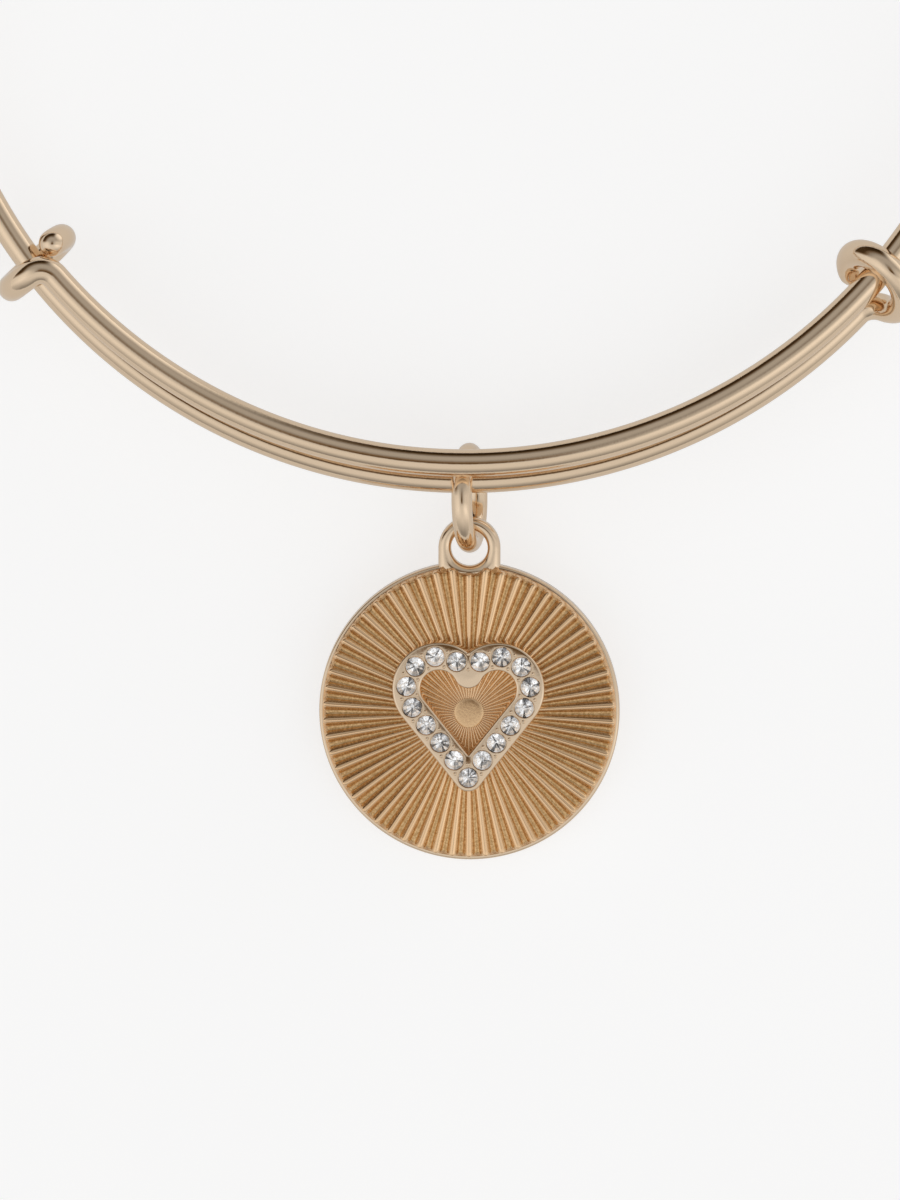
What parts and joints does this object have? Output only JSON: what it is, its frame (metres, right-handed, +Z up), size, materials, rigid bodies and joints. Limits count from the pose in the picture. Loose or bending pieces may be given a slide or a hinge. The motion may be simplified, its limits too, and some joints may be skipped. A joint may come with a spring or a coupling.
{
  "type": "charm bangle",
  "caption": "Expandable round-wire bangle with hooked-over ends, a jump ring and a round sunburst charm with a raised, stone-set heart.",
  "frame": {"origin": "on the floor, under the middle of the part's outline", "axes": "+Z up, close to the bangle's own axis as it lies on its side; -Y towards the charm; +X to the right of the charm as it is read"},
  "size_m": [0.0644, 0.0858, 0.0075],
  "materials": {
    "gold_tone": "polished",
    "crystal": "cut and polished"
  },
  "bodies": {
    "root": {"bangle_wire": "gold_tone", "jump_ring": "gold_tone", "charm_disc": "gold_tone", "stone_01": "crystal", "stone_02": "crystal", "stone_03": "crystal", "stone_04": "crystal", "stone_05": "crystal", "stone_06": "crystal", "stone_07": "crystal", "stone_08": "crystal", "stone_09": "crystal", "stone_10": "crystal", "stone_11": "crystal", "stone_12": "crystal", "stone_13": "crystal", "stone_14": "crystal", "stone_15": "crystal", "stone_16": "crystal", "stone_17": "crystal"}
  },
  "joints": []
}
